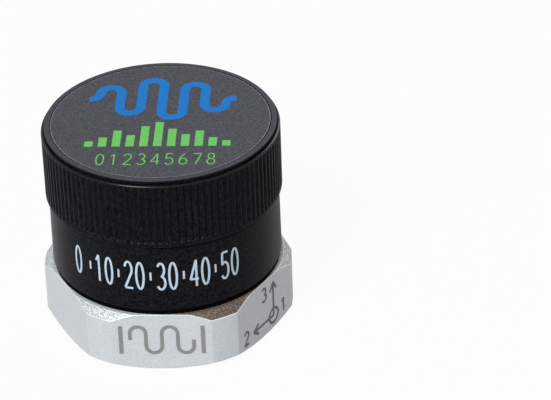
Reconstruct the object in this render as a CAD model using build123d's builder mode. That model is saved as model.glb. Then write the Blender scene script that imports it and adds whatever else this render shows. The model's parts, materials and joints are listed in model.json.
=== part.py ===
"""Wireless vibration sensor: a hex metal base, a tube housing and a ribbed screw cap.

The metal base bolts to a machine and carries the motion to a small board that is
screwed into its pocket. The tube housing is held on the base by three screws through
its inner flange. The radio board stands on posts above them and carries a coin cell,
which is reached by unscrewing the cap. Millimetres, +Z up. The origin is the centre of
the mounting face, and one flat of the base faces -Y.
"""

import os
from math import cos, radians, sin

from build123d import *

# The outside
cap_diameter = 36.0
cap_height = 11.35
shell_height = 11.2
base_height = 9.8
cap_gap = 0.3

# What the eye reads as steps from the cap's diameter
body_step = 0.5
shell_draft = 0.1
flat_inset = 0.5
corner_reach = 1.075

# Base
top_chamfer_width = 1.0
top_chamfer_drop = 1.15
foot_chamfer_width = 1.68
foot_chamfer_rise = 0.97
spigot_height = 3.4
spigot_wall = 4.35
spigot_clearance = 0.1
stud_bore_diameter = 5.5
stud_bore_point = 0.9
stud_bore_lead_in = 0.7
pocket_drop = 1.4
pocket_web = 1.6
boss_diameter = 3.4
boss_height = 1.6
boss_inset = 0.9

# Base gasket
gasket_thickness = 0.6
gasket_inset = 0.35
gasket_clearance = 0.1

# Tube housing
shell_wall = 1.95
shell_edge_bevel = 0.45
shoulder_bevel = 0.2
neck_wall = 1.55
neck_lead_in = 0.4
flange_thickness = 1.6
flange_overhang = 0.2

# Cap
cap_wall = 1.7
neck_clearance = 0.3
roof_thickness = 2.35
seat_gap = 0.05
crown_step = 0.5
crown_bevel = 0.35
crown_height = 0.62
shadow_groove_depth = 0.25
shadow_groove_height = 0.22
cap_shoulder_bevel = 0.22
rim_bevel = 0.15
rib_count = 108
rib_groove_width = 0.56
rib_groove_floor = 0.24
rib_groove_depth = 0.34
rib_end_below_shoulder = 0.18
rib_end_above_rim = 0.8
label_inset = 0.8
label_gap = 0.1
label_thickness = 0.25

# Cap gasket
cap_gasket_thickness = 1.0
cap_gasket_groove = 0.5
cap_gasket_clearance = 0.1

# Screws, all of one size
screw_diameter = 1.6
screw_clearance = 0.05
screw_head_diameter = 2.9
screw_head_height = 0.9
screw_grip = 2.6
screw_end_room = 0.3
screw_socket_across = 1.3
screw_socket_depth = 0.5

# Boards and posts
board_thickness = 1.2
board_clearance = 0.2
post_across = 3.0
post_screw_grip = 1.4

# Coin cell and its holder
cell_margin = 2.2
cell_height = 7.7
cell_cup_inset = 1.45
cell_cup_height = 0.4
cell_edge_bevel = 0.4
cell_clearance = 0.2
holder_wall = 0.95
holder_floor = 1.2
holder_wall_height = 4.6
holder_arc = 60.0
holder_screw_room = 0.3
holder_window_inset = 5.0
contact_thickness = 0.25
negative_contact_room = 0.6
negative_contact_top_inset = 2.4
positive_contact_width = 3.0
positive_contact_height = 5.4
positive_contact_foot = 1.5
positive_contact_gap = 0.05
pad_gap = 0.3
pad_thickness = 2.3
pad_inset = 0.9

# Heights of the small packages on the boards
accelerometer_height = 1.0
signal_chip_height = 0.9
temperature_chip_height = 0.7
radio_chip_height = 0.8
shield_height = 1.8
shield_wall = 0.2
crystal_height = 0.8
memory_chip_height = 0.8
capacitor_height = 2.6
antenna_height = 1.1
lamp_height = 0.6
package_edge = 0.12

# Their plans as shares of their own board's radius: reach from the axis along their
# direction, breadth along that direction, and length across it
accelerometer_plan_shares = (0.0, 0.27, 0.27)
signal_chip_plan_shares = (0.5, 0.45, 0.45)
temperature_chip_plan_shares = (0.36, 0.18, 0.18)
link_plan_shares = (0.5, 0.29, 0.69)
radio_chip_plan_shares = (0.38, 0.28, 0.28)
shield_plan_shares = (0.38, 0.56, 0.56)
memory_chip_plan_shares = (0.6, 0.21, 0.28)
crystal_plan_shares = (0.54, 0.22, 0.11)
capacitor_plan_shares = (0.46, 0.5, 0.3)
antenna_plan_shares = (0.8, 0.14, 0.49)
lamp_plan_shares = (0.055, 0.11)

# The connector between the boards: its socket's share of the room between them, and the
# shares of its own size that its pins take
socket_height_share = 0.6
pin_columns = 5
pin_rows = 2
pin_pitch_share = 0.17
pin_width_share = 0.05
pin_well_share = 0.066
pin_depth_share = 0.7
pin_well_depth_share = 0.78

# Directions round the axis, in degrees
screw_count = 3
shell_screw_turn = 90.0
post_turn = 30.0
sensor_screw_turn = 30.0
signal_chip_turn = 210.0
temperature_chip_turn = -34.0
link_turn = 90.0
shield_turn = -18.0
memory_chip_turn = 228.0
crystal_turn = 39.0
capacitor_turn = 180.0
antenna_turn = 60.0
lamp_turn = 48.0
positive_contact_turn = 132.0

# Sides of a hex, overrun for cuts, and how near an edge must lie to be picked by its size
hex_sides = 6
overrun = 0.5
pick_tolerance = 0.01

# Heights that follow from the sizes above
spigot_top = base_height + spigot_height
shell_foot = base_height + gasket_thickness
shell_top = shell_foot + shell_height
cap_lower_edge = shell_top + cap_gap
cap_top = cap_lower_edge + cap_height
roof_underside = cap_top - roof_thickness
cap_groove_ceiling = roof_underside + cap_gasket_groove
cap_gasket_top = cap_groove_ceiling - seat_gap
cap_gasket_bottom = cap_gasket_top - cap_gasket_thickness
neck_top = cap_gasket_bottom - seat_gap
flange_top = spigot_top + flange_thickness
pocket_floor = base_height - pocket_drop
stud_bore_depth = pocket_floor - pocket_web
sensor_board_bottom = pocket_floor + boss_height
sensor_board_top = sensor_board_bottom + board_thickness
cell_top = roof_underside - pad_thickness - pad_gap
cell_bottom = cell_top - cell_height
radio_board_top = cell_bottom - holder_floor
radio_board_bottom = radio_board_top - board_thickness
post_length = radio_board_bottom - flange_top
board_gap = radio_board_bottom - sensor_board_top
socket_top = sensor_board_top + board_gap * socket_height_share

# Radii that follow from the cap's diameter
cap_radius = cap_diameter / 2
cap_bore_radius = cap_radius - cap_wall
neck_radius = cap_bore_radius - neck_clearance
bore_radius = neck_radius - neck_wall
shell_top_radius = cap_radius - body_step
shell_foot_radius = shell_top_radius + shell_draft
flat_radius = cap_radius - flat_inset
bar_radius = cap_radius + corner_reach
socket_bore_radius = shell_foot_radius - shell_wall
spigot_radius = socket_bore_radius - spigot_clearance
pocket_radius = spigot_radius - spigot_wall
flange_bore_radius = pocket_radius - flange_overhang
sensor_board_radius = pocket_radius - board_clearance
boss_circle_radius = pocket_radius - boss_inset - boss_diameter / 2
flange_screw_radius = (flange_bore_radius + bore_radius) / 2
radio_board_radius = bore_radius - board_clearance
cell_radius = bore_radius - cell_margin
holder_inner_radius = cell_radius + cell_clearance
holder_radius = holder_inner_radius + holder_wall
crown_radius = cap_radius - crown_step
label_recess_radius = crown_radius - label_inset
label_radius = label_recess_radius - label_gap
screw_hole_radius = screw_diameter / 2 + screw_clearance


def level(height):
    """A horizontal plane at this height."""
    return Plane.XY.offset(height)


def rings_at(part, radius, height):
    """The part's round edges of this radius at this height."""
    rings = part.edges().filter_by(GeomType.CIRCLE)
    return rings.filter_by(
        lambda ring: abs(ring.radius - radius) < pick_tolerance
        and abs(ring.center(CenterOf.BOUNDING_BOX).Z - height) < pick_tolerance
    )


def radial_plane(angle):
    """An upright plane through the axis: local X points outwards, local Y up."""
    turn = radians(angle)
    return Plane(origin=(0, 0, 0), x_dir=(cos(turn), sin(turn), 0), z_dir=(sin(turn), -cos(turn), 0))


def finish(piece, name):
    """Label a piece and write it to its own file."""
    piece.part.label = name
    export_step(piece.part, f"parts/{name}.step")


def screws(name, seat, circle_radius, turn, shank_length):
    """Three socket-head screws, heads up, on a circle about the axis."""
    with BuildPart() as group:
        with BuildSketch(level(seat)):
            with PolarLocations(circle_radius, screw_count, turn):
                Circle(screw_diameter / 2)
        extrude(amount=-shank_length)
        with BuildSketch(level(seat)):
            with PolarLocations(circle_radius, screw_count, turn):
                Circle(screw_head_diameter / 2)
        extrude(amount=screw_head_height)
        with BuildSketch(level(seat + screw_head_height)):
            with PolarLocations(circle_radius, screw_count, turn):
                RegularPolygon(screw_socket_across / 2, hex_sides, major_radius=False)
        extrude(amount=-screw_socket_depth, mode=Mode.SUBTRACT)
    finish(group, name)


def board_plan(board_radius, plan_shares, turn):
    """A rectangle on a board, in the open sketch: its reach, breadth and length are shares."""
    reach, breadth, length = (board_radius * share for share in plan_shares)
    with PolarLocations(reach, 1, turn):
        Rectangle(breadth, length)


def package(name, height, rise, board_radius, plan_shares, turn):
    """A flat electronic package on a board's face: a negative rise hangs it below."""
    with BuildPart() as chip:
        with BuildSketch(level(height)):
            board_plan(board_radius, plan_shares, turn)
        extrude(amount=rise)
        far_face = chip.faces().sort_by(Axis.Z)[-1 if rise > 0 else 0]
        chamfer(far_face.edges(), package_edge)
    finish(chip, name)


os.makedirs("parts", exist_ok=True)


# Hex base: a turned bar with both ends chamfered, then six flats milled on it
with BuildPart() as hex_base:
    with BuildSketch(Plane.XZ):
        with BuildLine():
            Polyline(
                (0, 0),
                (bar_radius - foot_chamfer_width, 0),
                (bar_radius, foot_chamfer_rise),
                (bar_radius, base_height - top_chamfer_drop),
                (bar_radius - top_chamfer_width, base_height),
                (0, base_height),
                close=True,
            )
        make_face()
    revolve(axis=Axis.Z)
    with BuildSketch():
        RegularPolygon(flat_radius, hex_sides, major_radius=False)
    extrude(amount=base_height, mode=Mode.INTERSECT)

    # Spigot that centres the tube housing
    with BuildSketch(level(base_height)):
        Circle(spigot_radius)
    extrude(amount=spigot_height)

    # Pocket and bosses for the sensor board
    with BuildSketch(level(pocket_floor)):
        Circle(pocket_radius)
    extrude(amount=spigot_top - pocket_floor + overrun, mode=Mode.SUBTRACT)
    with BuildSketch(level(pocket_floor)):
        with PolarLocations(boss_circle_radius, screw_count, sensor_screw_turn):
            Circle(boss_diameter / 2)
    extrude(amount=boss_height)
    with BuildSketch(level(sensor_board_bottom)):
        with PolarLocations(boss_circle_radius, screw_count, sensor_screw_turn):
            Circle(screw_hole_radius)
    extrude(amount=-(screw_grip + screw_end_room), mode=Mode.SUBTRACT)

    # Tapped holes that hold the tube housing's flange
    with BuildSketch(level(spigot_top)):
        with PolarLocations(flange_screw_radius, screw_count, shell_screw_turn):
            Circle(screw_hole_radius)
    extrude(amount=-(screw_grip + screw_end_room), mode=Mode.SUBTRACT)

    # Stud hole in the mounting face, with its drill point and lead-in
    with BuildSketch(Plane.XZ):
        with BuildLine():
            Polyline(
                (0, -overrun),
                (stud_bore_diameter / 2, -overrun),
                (stud_bore_diameter / 2, stud_bore_depth - stud_bore_point),
                (0, stud_bore_depth),
                close=True,
            )
        make_face()
    revolve(axis=Axis.Z, mode=Mode.SUBTRACT)
    chamfer(rings_at(hex_base.part, stud_bore_diameter / 2, 0), stud_bore_lead_in)
finish(hex_base, "hex_base")


# Flat gasket between the base and the tube housing
with BuildPart() as base_gasket:
    with BuildSketch(level(base_height)):
        Circle(shell_foot_radius - gasket_inset)
        Circle(spigot_radius + gasket_clearance, mode=Mode.SUBTRACT)
    extrude(amount=gasket_thickness)
finish(base_gasket, "base_gasket")


# Tube housing: drafted wall, inner flange and the neck that the cap screws onto
with BuildPart() as body_shell:
    with BuildSketch(Plane.XZ):
        with BuildLine():
            Polyline(
                (socket_bore_radius, shell_foot),
                (shell_foot_radius, shell_foot),
                (shell_top_radius, shell_top),
                (neck_radius, shell_top),
                (neck_radius, neck_top),
                (bore_radius, neck_top),
                (bore_radius, flange_top),
                (flange_bore_radius, flange_top),
                (flange_bore_radius, spigot_top),
                (socket_bore_radius, spigot_top),
                close=True,
            )
        make_face()
    revolve(axis=Axis.Z)
    chamfer(rings_at(body_shell.part, shell_foot_radius, shell_foot), shell_edge_bevel)
    chamfer(rings_at(body_shell.part, shell_top_radius, shell_top), shoulder_bevel)
    chamfer(rings_at(body_shell.part, neck_radius, neck_top), neck_lead_in)
    with BuildSketch(level(spigot_top - overrun)):
        with PolarLocations(flange_screw_radius, screw_count, shell_screw_turn):
            Circle(screw_hole_radius)
        with PolarLocations(flange_screw_radius, screw_count, post_turn):
            Circle(screw_hole_radius)
    extrude(amount=flange_thickness + 2 * overrun, mode=Mode.SUBTRACT)
finish(body_shell, "body_shell")


# Screws that clamp the flange to the base
screws("shell_screws", flange_top, flange_screw_radius, shell_screw_turn, flange_thickness + screw_grip)


# Sensor board in the base's pocket, with what it carries
with BuildPart() as sensor_board:
    with BuildSketch(level(sensor_board_bottom)):
        Circle(sensor_board_radius)
        with PolarLocations(boss_circle_radius, screw_count, sensor_screw_turn):
            Circle(screw_hole_radius, mode=Mode.SUBTRACT)
    extrude(amount=board_thickness)
finish(sensor_board, "sensor_board")

board_screw_length = board_thickness + screw_grip
screws("sensor_board_screws", sensor_board_top, boss_circle_radius, sensor_screw_turn, board_screw_length)

on_sensor_board = (
    ("accelerometer", accelerometer_height, accelerometer_plan_shares, link_turn),
    ("signal_chip", signal_chip_height, signal_chip_plan_shares, signal_chip_turn),
)
for name, rise, plan_shares, turn in on_sensor_board:
    package(name, sensor_board_top, rise, sensor_board_radius, plan_shares, turn)

package(
    "temperature_chip",
    sensor_board_bottom,
    -temperature_chip_height,
    sensor_board_radius,
    temperature_chip_plan_shares,
    temperature_chip_turn,
)

# Soft pad that carries the base's heat to the temperature chip
with BuildPart() as thermal_pad:
    with BuildSketch(level(pocket_floor)):
        board_plan(sensor_board_radius, temperature_chip_plan_shares, temperature_chip_turn)
    extrude(amount=boss_height - temperature_chip_height)
finish(thermal_pad, "thermal_pad")


# Socket and plug that join the two boards. The pins stand in two rows along its length.
link_reach, link_breadth, link_length = (sensor_board_radius * share for share in link_plan_shares)
pin_pitch = link_length * pin_pitch_share
pin_width = link_length * pin_width_share
pin_well = link_length * pin_well_share
socket_height = socket_top - sensor_board_top


def pin_grid(width):
    """The square pins or their wells, in the open sketch."""
    with PolarLocations(link_reach, 1, link_turn):
        with GridLocations(pin_pitch, pin_pitch, pin_rows, pin_columns):
            Rectangle(width, width)


with BuildPart() as link_socket:
    with BuildSketch(level(sensor_board_top)):
        board_plan(sensor_board_radius, link_plan_shares, link_turn)
    extrude(amount=socket_height)
    with BuildSketch(level(socket_top)):
        pin_grid(pin_well)
    extrude(amount=-socket_height * pin_well_depth_share, mode=Mode.SUBTRACT)
finish(link_socket, "link_socket")

with BuildPart() as link_plug:
    with BuildSketch(level(socket_top)):
        board_plan(sensor_board_radius, link_plan_shares, link_turn)
    extrude(amount=radio_board_bottom - socket_top)
    with BuildSketch(level(socket_top)):
        pin_grid(pin_width)
    extrude(amount=-socket_height * pin_depth_share)
finish(link_plug, "link_plug")


# Hex posts between the flange and the radio board. The board's screws run through them.
with BuildPart() as board_posts:
    with BuildSketch(level(flange_top)):
        with PolarLocations(flange_screw_radius, screw_count, post_turn):
            RegularPolygon(post_across / 2, hex_sides, major_radius=False)
            Circle(screw_hole_radius, mode=Mode.SUBTRACT)
    extrude(amount=post_length)
finish(board_posts, "board_posts")


# Radio board: electronics hang below it, the cell holder stands on it
with BuildPart() as radio_board:
    with BuildSketch(level(radio_board_bottom)):
        Circle(radio_board_radius)
        with PolarLocations(flange_screw_radius, screw_count, post_turn):
            Circle(screw_hole_radius, mode=Mode.SUBTRACT)
    extrude(amount=board_thickness)
finish(radio_board, "radio_board")

post_screw_length = board_thickness + post_length + post_screw_grip
screws("radio_board_screws", radio_board_top, flange_screw_radius, post_turn, post_screw_length)

under_radio_board = (
    ("radio_chip", radio_chip_height, radio_chip_plan_shares, shield_turn),
    ("memory_chip", memory_chip_height, memory_chip_plan_shares, memory_chip_turn),
    ("clock_crystal", crystal_height, crystal_plan_shares, crystal_turn),
    ("buffer_capacitor", capacitor_height, capacitor_plan_shares, capacitor_turn),
    ("chip_antenna", antenna_height, antenna_plan_shares, antenna_turn),
)
for name, drop, plan_shares, turn in under_radio_board:
    package(name, radio_board_bottom, -drop, radio_board_radius, plan_shares, turn)

# Thin metal can over the radio chip, open towards the board
with BuildPart() as shield_can:
    with BuildSketch(level(radio_board_bottom)):
        board_plan(radio_board_radius, shield_plan_shares, shield_turn)
    extrude(amount=-shield_height)
    offset(amount=-shield_wall, openings=shield_can.faces().sort_by(Axis.Z)[-1])
finish(shield_can, "shield_can")

# Status lamp at the radio board's edge, beside the cell
lamp_breadth, lamp_length = (radio_board_radius * share for share in lamp_plan_shares)
with BuildPart() as status_lamp:
    with BuildSketch(level(radio_board_top)):
        with PolarLocations((radio_board_radius + cell_radius) / 2, 1, lamp_turn):
            Rectangle(lamp_breadth, lamp_length)
    extrude(amount=lamp_height)
    chamfer(status_lamp.faces().sort_by(Axis.Z)[-1].edges(), package_edge)
finish(status_lamp, "status_lamp")


# Cell holder: a floor with a window for the lower contact, and three upright arcs
contact_face = cell_radius + positive_contact_gap
with BuildPart() as cell_holder:
    with BuildSketch(level(radio_board_top)):
        Circle(holder_inner_radius)
        with PolarLocations(flange_screw_radius, screw_count, post_turn):
            Circle(screw_head_diameter / 2 + holder_screw_room, mode=Mode.SUBTRACT)
        with PolarLocations(contact_face + positive_contact_foot / 2, 1, positive_contact_turn):
            Rectangle(
                positive_contact_foot + 2 * positive_contact_gap,
                positive_contact_width + 2 * positive_contact_gap,
                mode=Mode.SUBTRACT,
            )
        Circle(cell_radius - holder_window_inset, mode=Mode.SUBTRACT)
    extrude(amount=holder_floor)
    with BuildSketch(level(radio_board_top)):
        for step in range(screw_count):
            middle = post_turn + 180 / screw_count + 360 / screw_count * step
            with BuildLine():
                CenterArc((0, 0), holder_inner_radius, middle - holder_arc / 2, holder_arc)
                CenterArc((0, 0), holder_radius, middle - holder_arc / 2, holder_arc)
                for side in (middle - holder_arc / 2, middle + holder_arc / 2):
                    turn = radians(side)
                    Line(
                        (holder_inner_radius * cos(turn), holder_inner_radius * sin(turn)),
                        (holder_radius * cos(turn), holder_radius * sin(turn)),
                    )
            make_face()
    extrude(amount=holder_floor + holder_wall_height)
finish(cell_holder, "cell_holder")


# Lower contact: a dished spring disc on the board, under the cell's small face
contact_foot_radius = cell_radius - holder_window_inset - negative_contact_room
contact_top_radius = contact_foot_radius - negative_contact_top_inset
with BuildPart() as negative_contact:
    with BuildSketch(Plane.XZ):
        with BuildLine():
            Polyline(
                (contact_foot_radius, radio_board_top),
                (contact_foot_radius, radio_board_top + contact_thickness),
                (contact_top_radius, cell_bottom),
                (0, cell_bottom),
                (0, cell_bottom - contact_thickness),
                (contact_top_radius - contact_thickness, cell_bottom - contact_thickness),
                (contact_foot_radius - contact_thickness, radio_board_top),
                close=True,
            )
        make_face()
    revolve(axis=Axis.Z)
finish(negative_contact, "negative_contact")

# Side contact: an upright strip that bears on the cell's can
with BuildPart() as positive_contact:
    with BuildSketch(radial_plane(positive_contact_turn)):
        with BuildLine():
            Polyline(
                (contact_face, radio_board_top),
                (contact_face + positive_contact_foot, radio_board_top),
                (contact_face + positive_contact_foot, radio_board_top + contact_thickness),
                (contact_face + contact_thickness, radio_board_top + contact_thickness),
                (contact_face + contact_thickness, radio_board_top + positive_contact_height),
                (contact_face, radio_board_top + positive_contact_height),
                close=True,
            )
        make_face()
    extrude(amount=positive_contact_width / 2, both=True)
finish(positive_contact, "positive_contact")


# Coin cell, its small face down
with BuildPart() as coin_cell:
    with BuildSketch(level(cell_bottom)):
        Circle(cell_radius - cell_cup_inset)
    extrude(amount=cell_cup_height)
    with BuildSketch(level(cell_bottom + cell_cup_height)):
        Circle(cell_radius)
    extrude(amount=cell_height - cell_cup_height)
    chamfer(rings_at(coin_cell.part, cell_radius, cell_top), cell_edge_bevel)
    chamfer(rings_at(coin_cell.part, cell_radius, cell_bottom + cell_cup_height), cell_edge_bevel)
finish(coin_cell, "coin_cell")


# Foam pad stuck under the cap's roof, which keeps the cell from rattling
with BuildPart() as cell_pad:
    with BuildSketch(level(roof_underside - pad_thickness)):
        Circle(cell_radius - pad_inset)
    extrude(amount=pad_thickness)
finish(cell_pad, "cell_pad")


# Gasket in the cap's roof, seated on the neck's rim
with BuildPart() as cap_gasket:
    with BuildSketch(level(cap_gasket_bottom)):
        Circle(cap_bore_radius - cap_gasket_clearance)
        Circle(bore_radius, mode=Mode.SUBTRACT)
    extrude(amount=cap_gasket_thickness)
finish(cap_gasket, "cap_gasket")


# Ribbed cap: a turned cup with a stepped crown, a label recess and fine grip ribs
crown_foot = cap_top - crown_height
shoulder_top = crown_foot - shadow_groove_height
groove_radius = crown_radius - shadow_groove_depth
rib_bottom = cap_lower_edge + rib_end_above_rim
rib_top = shoulder_top - cap_shoulder_bevel - rib_end_below_shoulder
with BuildPart() as cap:
    with BuildSketch(Plane.XZ):
        with BuildLine():
            Polyline(
                (cap_bore_radius, cap_lower_edge),
                (cap_radius, cap_lower_edge),
                (cap_radius, shoulder_top),
                (groove_radius, shoulder_top),
                (groove_radius, crown_foot),
                (crown_radius, crown_foot),
                (crown_radius, cap_top),
                (label_recess_radius, cap_top),
                (label_recess_radius, cap_top - label_thickness),
                (0, cap_top - label_thickness),
                (0, roof_underside),
                (bore_radius - cap_gasket_clearance, roof_underside),
                (bore_radius - cap_gasket_clearance, cap_groove_ceiling),
                (cap_bore_radius, cap_groove_ceiling),
                close=True,
            )
        make_face()
    revolve(axis=Axis.Z)
    chamfer(rings_at(cap.part, crown_radius, cap_top), crown_bevel)
    chamfer(rings_at(cap.part, cap_radius, shoulder_top), cap_shoulder_bevel)
    chamfer(rings_at(cap.part, cap_radius, cap_lower_edge), rim_bevel)

    # Grip ribs: the lands are what is left of the wall between tapered grooves
    with BuildSketch(level(rib_bottom)):
        with PolarLocations(cap_radius, rib_count):
            Polygon(
                (-rib_groove_depth, rib_groove_floor / 2),
                (-rib_groove_depth, -rib_groove_floor / 2),
                (overrun / 2, -rib_groove_width / 2),
                (overrun / 2, rib_groove_width / 2),
                align=None,
            )
    extrude(amount=rib_top - rib_bottom, mode=Mode.SUBTRACT)
finish(cap, "cap")


# Printed label in the cap's recess
with BuildPart() as cap_label:
    with BuildSketch(level(cap_top - label_thickness)):
        Circle(label_radius)
    extrude(amount=label_thickness)
finish(cap_label, "cap_label")

print(f"across flats {2 * flat_radius:.2f}, bar {2 * bar_radius:.2f}, height {cap_top:.2f}")
print(f"neck {2 * neck_radius:.2f}, bore {2 * bore_radius:.2f}, posts {post_length:.2f} long")
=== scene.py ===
# %% [markdown]
# # A vibration sensor, dressed cell by cell
#
# The object is a small wireless vibration sensor: a light metal hex base that screws onto
# a machine, a black tube housing and a ribbed screw cap with a printed label.
# The CAD model gives every piece its place and size. This script loads that model as a
# fixed frame, and builds the surfaces and finishes that the eye sees around it. Sizes are
# written in millimetres, and MM turns them into Blender's metres.

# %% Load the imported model
import json
import math

import bpy
import numpy as np
from mathutils import Matrix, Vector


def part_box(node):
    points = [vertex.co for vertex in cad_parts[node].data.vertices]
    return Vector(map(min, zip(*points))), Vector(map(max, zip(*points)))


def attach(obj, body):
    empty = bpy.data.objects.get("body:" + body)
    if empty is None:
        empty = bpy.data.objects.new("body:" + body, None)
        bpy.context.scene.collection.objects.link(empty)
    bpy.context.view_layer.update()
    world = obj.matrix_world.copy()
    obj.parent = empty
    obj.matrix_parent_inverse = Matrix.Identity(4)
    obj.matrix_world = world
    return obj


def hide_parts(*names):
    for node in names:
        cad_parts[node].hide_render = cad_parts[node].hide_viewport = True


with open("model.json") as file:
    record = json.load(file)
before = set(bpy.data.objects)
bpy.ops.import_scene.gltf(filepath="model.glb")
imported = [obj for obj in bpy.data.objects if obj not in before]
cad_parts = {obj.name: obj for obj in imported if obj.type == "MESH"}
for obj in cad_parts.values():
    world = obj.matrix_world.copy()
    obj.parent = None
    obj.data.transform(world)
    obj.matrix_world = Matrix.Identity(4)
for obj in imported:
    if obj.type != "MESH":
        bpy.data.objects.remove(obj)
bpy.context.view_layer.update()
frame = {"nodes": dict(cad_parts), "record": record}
MM = 0.001

# %% [markdown]
# ## The camera
#
# The photograph was taken from in front and above with a long lens, held a little askew.
# A camera could be aimed at the sensor by eye, but then no edge would ever lie quite right,
# so the eye's place and the two directions below were solved from edges of the sensor whose
# real sizes are known. A camera in Blender looks along its own -Z, so its axes are the
# picture's right, the picture's up, and the direction back to the eye.

# %% Camera at the photograph's viewpoint
def stood(name, data, right, up, back, place):
    """Stands a camera or a lamp at a place, so that it looks along the opposite of back."""
    thing = bpy.data.objects.new(name, data)
    axes = np.stack((right, up, back, place), axis=1)
    thing.matrix_world = Matrix([*axes.tolist(), [0, 0, 0, 1]])
    bpy.context.collection.objects.link(thing)
    return thing


photo_width = 551
focal_length_in_pixels = 2972.6
sensor_width_mm = 36.0
eye = np.array((36.128, -383.718, 258.581)) * MM
view_forward = np.array((-0.042497, 0.847395, -0.529259))
view_right = np.array((0.999063, 0.031702, -0.029462))
view_up = np.cross(view_right, view_forward)

camera_data = bpy.data.cameras.new("photo_camera")
camera_data.sensor_fit = "HORIZONTAL"
camera_data.sensor_width = sensor_width_mm
camera_data.lens = focal_length_in_pixels / photo_width * sensor_width_mm
camera_data.clip_start = 0.01
camera_data.clip_end = 20
scene = bpy.context.scene
scene.camera = stood("photo_camera", camera_data, view_right, view_up, -view_forward, eye)
scene.view_settings.view_transform = "Standard"
print(f"lens {camera_data.lens:.1f} mm, eye {np.linalg.norm(eye):.3f} m from the origin")

# %% [markdown]
# ## Floor and room
#
# The photograph is cut out on white. Making the lamps strong enough to burn a floor white
# would also burn the metal, so the floor and the room show plain white only to rays that
# come from the camera or off a shiny surface. Everything else sees a softly lit room.
# A Light Path node tells these rays apart. The floor is a mix, so a shadow still shows.

# %% Helpers that wire nodes
def wired(tree, kind, inputs=(), **settings):
    """Adds a node: inputs pairs a socket with a value or with another node's output."""
    node = tree.nodes.new(kind)
    for name, value in settings.items():
        setattr(node, name, value)
    for socket, value in dict(inputs).items():
        if isinstance(value, bpy.types.NodeSocket):
            tree.links.new(value, node.inputs[socket])
        else:
            node.inputs[socket].default_value = value
    return node


def worked_out(tree, operation, *values):
    """One step of arithmetic on numbers or on other nodes' outputs."""
    return wired(tree, "ShaderNodeMath", enumerate(values), operation=operation).outputs[0]


def seen_directly(tree, shiny_share):
    """1 for the camera's rays, this share for rays off gloss or through glass, else 0."""
    path = wired(tree, "ShaderNodeLightPath").outputs
    shiny = worked_out(tree, "MAXIMUM", path["Is Glossy Ray"], path["Is Transmission Ray"])
    shiny = worked_out(tree, "MULTIPLY", shiny, shiny_share)
    return worked_out(tree, "MAXIMUM", path["Is Camera Ray"], shiny)


def blended(tree, share, first, second):
    """The first shader, going over to the second along a share of 0 to 1."""
    inputs = {0: share, 1: first.outputs[0], 2: second.outputs[0]}
    return wired(tree, "ShaderNodeMixShader", inputs).outputs[0]


print("helpers: wired, worked_out, seen_directly, blended")

# %% The room's light
room_colour = (0.93, 0.95, 1.0, 1.0)
room_strength = 0.25
room_share_in_gloss = 0.6
white = (1.0, 1.0, 1.0, 1.0)

world = bpy.data.worlds.new("pale_room")
world.use_nodes = True
tree = world.node_tree
tree.nodes.clear()
lit_room = wired(tree, "ShaderNodeBackground", {"Color": room_colour, "Strength": room_strength})
white_room = wired(tree, "ShaderNodeBackground", {"Color": white, "Strength": 1.0})
room = blended(tree, seen_directly(tree, room_share_in_gloss), lit_room, white_room)
wired(tree, "ShaderNodeOutputWorld", {"Surface": room})
scene.world = world
print("room strength", room_strength)

# %% The floor
# In reflections the floor shows more of its own shading, so the black side away from the
# key lamp mirrors the sensor's shadow and stays dark, as in the photograph.
floor_colour = (0.48, 0.48, 0.48, 1.0)
floor_white_share = 0.95
floor_share_in_gloss = 0.2
floor_reach = 3.0

floor_material = bpy.data.materials.new("pale_floor")
floor_material.use_nodes = True
tree = floor_material.node_tree
tree.nodes.clear()
floor_paint = wired(tree, "ShaderNodeBsdfDiffuse", {"Color": floor_colour})
floor_white = wired(tree, "ShaderNodeEmission", {"Color": white, "Strength": 1.0})
share = worked_out(tree, "MULTIPLY", seen_directly(tree, floor_share_in_gloss), floor_white_share)
floor_mix = blended(tree, share, floor_paint, floor_white)
wired(tree, "ShaderNodeOutputMaterial", {"Surface": floor_mix})

corners = [(x * floor_reach, y * floor_reach, 0) for x, y in ((-1, -1), (1, -1), (1, 1), (-1, 1))]
floor_mesh = bpy.data.meshes.new("floor")
floor_mesh.from_pydata(corners, [], [(0, 1, 2, 3)])
floor_mesh.materials.append(floor_material)
floor = bpy.data.objects.new("floor", floor_mesh)
bpy.context.collection.objects.link(floor)
print("floor", 2 * floor_reach, "m wide")

# %% [markdown]
# ## The lamps
#
# The photograph's bright left side and the thin light along the right edges tell where its
# lamps stood: a strong soft one at the left, a weaker one behind at the right. Small lamps
# would give hard shadows and points of light on the black plastic, so all four are discs.
# The fill lamp stands for polarised light, which black plastic doesn't mirror.

# %% Four disc lamps
# Each lamp: name, direction from the sensor (azimuth, elevation), distance, size, power, colour
lamps = (
    ("key_lamp", (-117, 46), 0.9, 0.36, 9.0, (0.94, 0.985, 1.0)),
    ("fill_lamp", (-10, 20), 1.1, 0.7, 0.75, (1.0, 0.88, 0.76)),
    ("rim_lamp", (60, 30), 1.0, 0.5, 3.0, (1.0, 0.99, 0.97)),
    ("top_lamp", (80, 70), 1.0, 0.8, 0.5, (1.0, 1.0, 1.0)),
)
lamp_target = np.array((0, 0, 0.018))
for name, direction, distance, size, power, colour in lamps:
    a, e = np.radians(direction)
    away = np.array((math.cos(e) * math.cos(a), math.cos(e) * math.sin(a), math.sin(e)))
    lamp_data = bpy.data.lights.new(name, "AREA")
    lamp_data.shape = "DISK"
    lamp_data.size = size
    lamp_data.energy = power
    lamp_data.color = colour
    side = np.cross((0, 0, 1), away)
    side /= np.linalg.norm(side)
    place = lamp_target + away * distance
    lamp = stood(name, lamp_data, side, np.cross(away, side), away, place)
    lamp.visible_glossy = name != "fill_lamp"
    print(name, "at", np.round(place, 2))

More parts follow.
